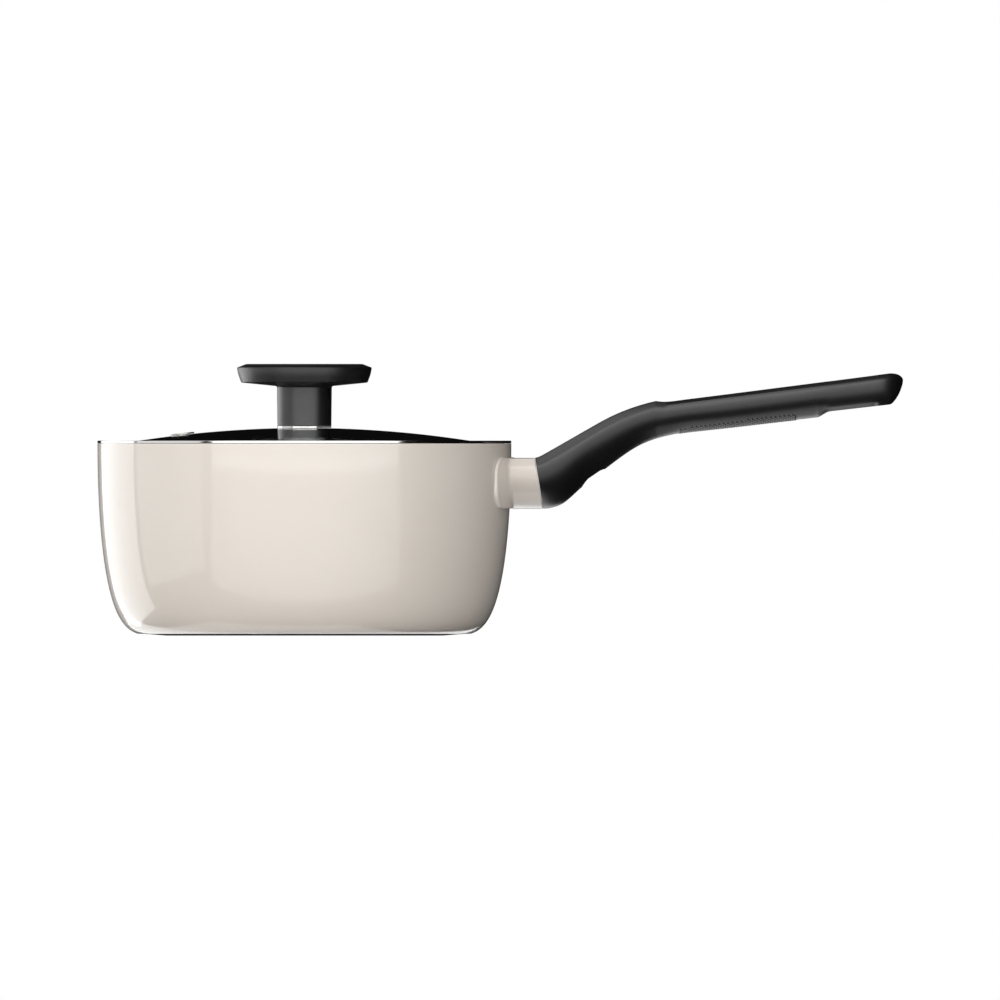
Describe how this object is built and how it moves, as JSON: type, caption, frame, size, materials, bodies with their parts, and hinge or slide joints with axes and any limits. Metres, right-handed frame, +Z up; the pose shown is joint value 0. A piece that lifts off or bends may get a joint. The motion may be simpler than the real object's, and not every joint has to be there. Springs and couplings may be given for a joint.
{
  "type": "saucepan with glass lid",
  "caption": "Saucepan with a long raised handle, a domed glass lid with a steel rim and steam vent, and a mushroom knob.",
  "frame": {"origin": "centre of the underside of the base, where the pan stands", "axes": "+Z up along the pan's axis, +X from the pan's axis towards the end of the handle"},
  "size_m": [0.3582, 0.184, 0.1208],
  "materials": {
    "vessel_coating": "satin cream coating baked on aluminium, dark non-stick inside",
    "mount_coating": "satin cream coating baked on cast aluminium",
    "disc_steel": "turned, dark",
    "rivet_metal": "plain, pressed",
    "handle_plastic": "moulded, soft satin, fine raised dots on the grip's underside",
    "fastener_steel": "plain",
    "lid_glass": "clear tempered",
    "rim_steel": "polished stainless",
    "vent_steel": "polished stainless",
    "collar_steel": "polished stainless",
    "knob_plastic": "moulded, satin",
    "insert_brass": "plain machined",
    "silicone": "translucent white silicone"
  },
  "bodies": {
    "pan": {"pan_body": "vessel_coating", "base_plate": "disc_steel", "handle_mount": "mount_coating", "rivet_left": "rivet_metal", "rivet_right": "rivet_metal", "handle": "handle_plastic", "handle_screw": "fastener_steel", "handle_screw_washer": "fastener_steel"},
    "lid": {"lid_glass": "lid_glass", "lid_rim": "rim_steel", "vent_eyelet": "vent_steel", "vent_washer": "vent_steel", "knob": "knob_plastic", "knob_insert": "insert_brass", "knob_collar": "collar_steel", "upper_gasket": "silicone", "lower_gasket": "silicone", "knob_washer": "fastener_steel", "knob_screw": "fastener_steel"}
  },
  "joints": [
    {"name": "lid_lift", "type": "slide", "parent": "pan", "child": "lid", "axis": [0, 0, 1], "range_m": [0, 0.1]}
  ]
}
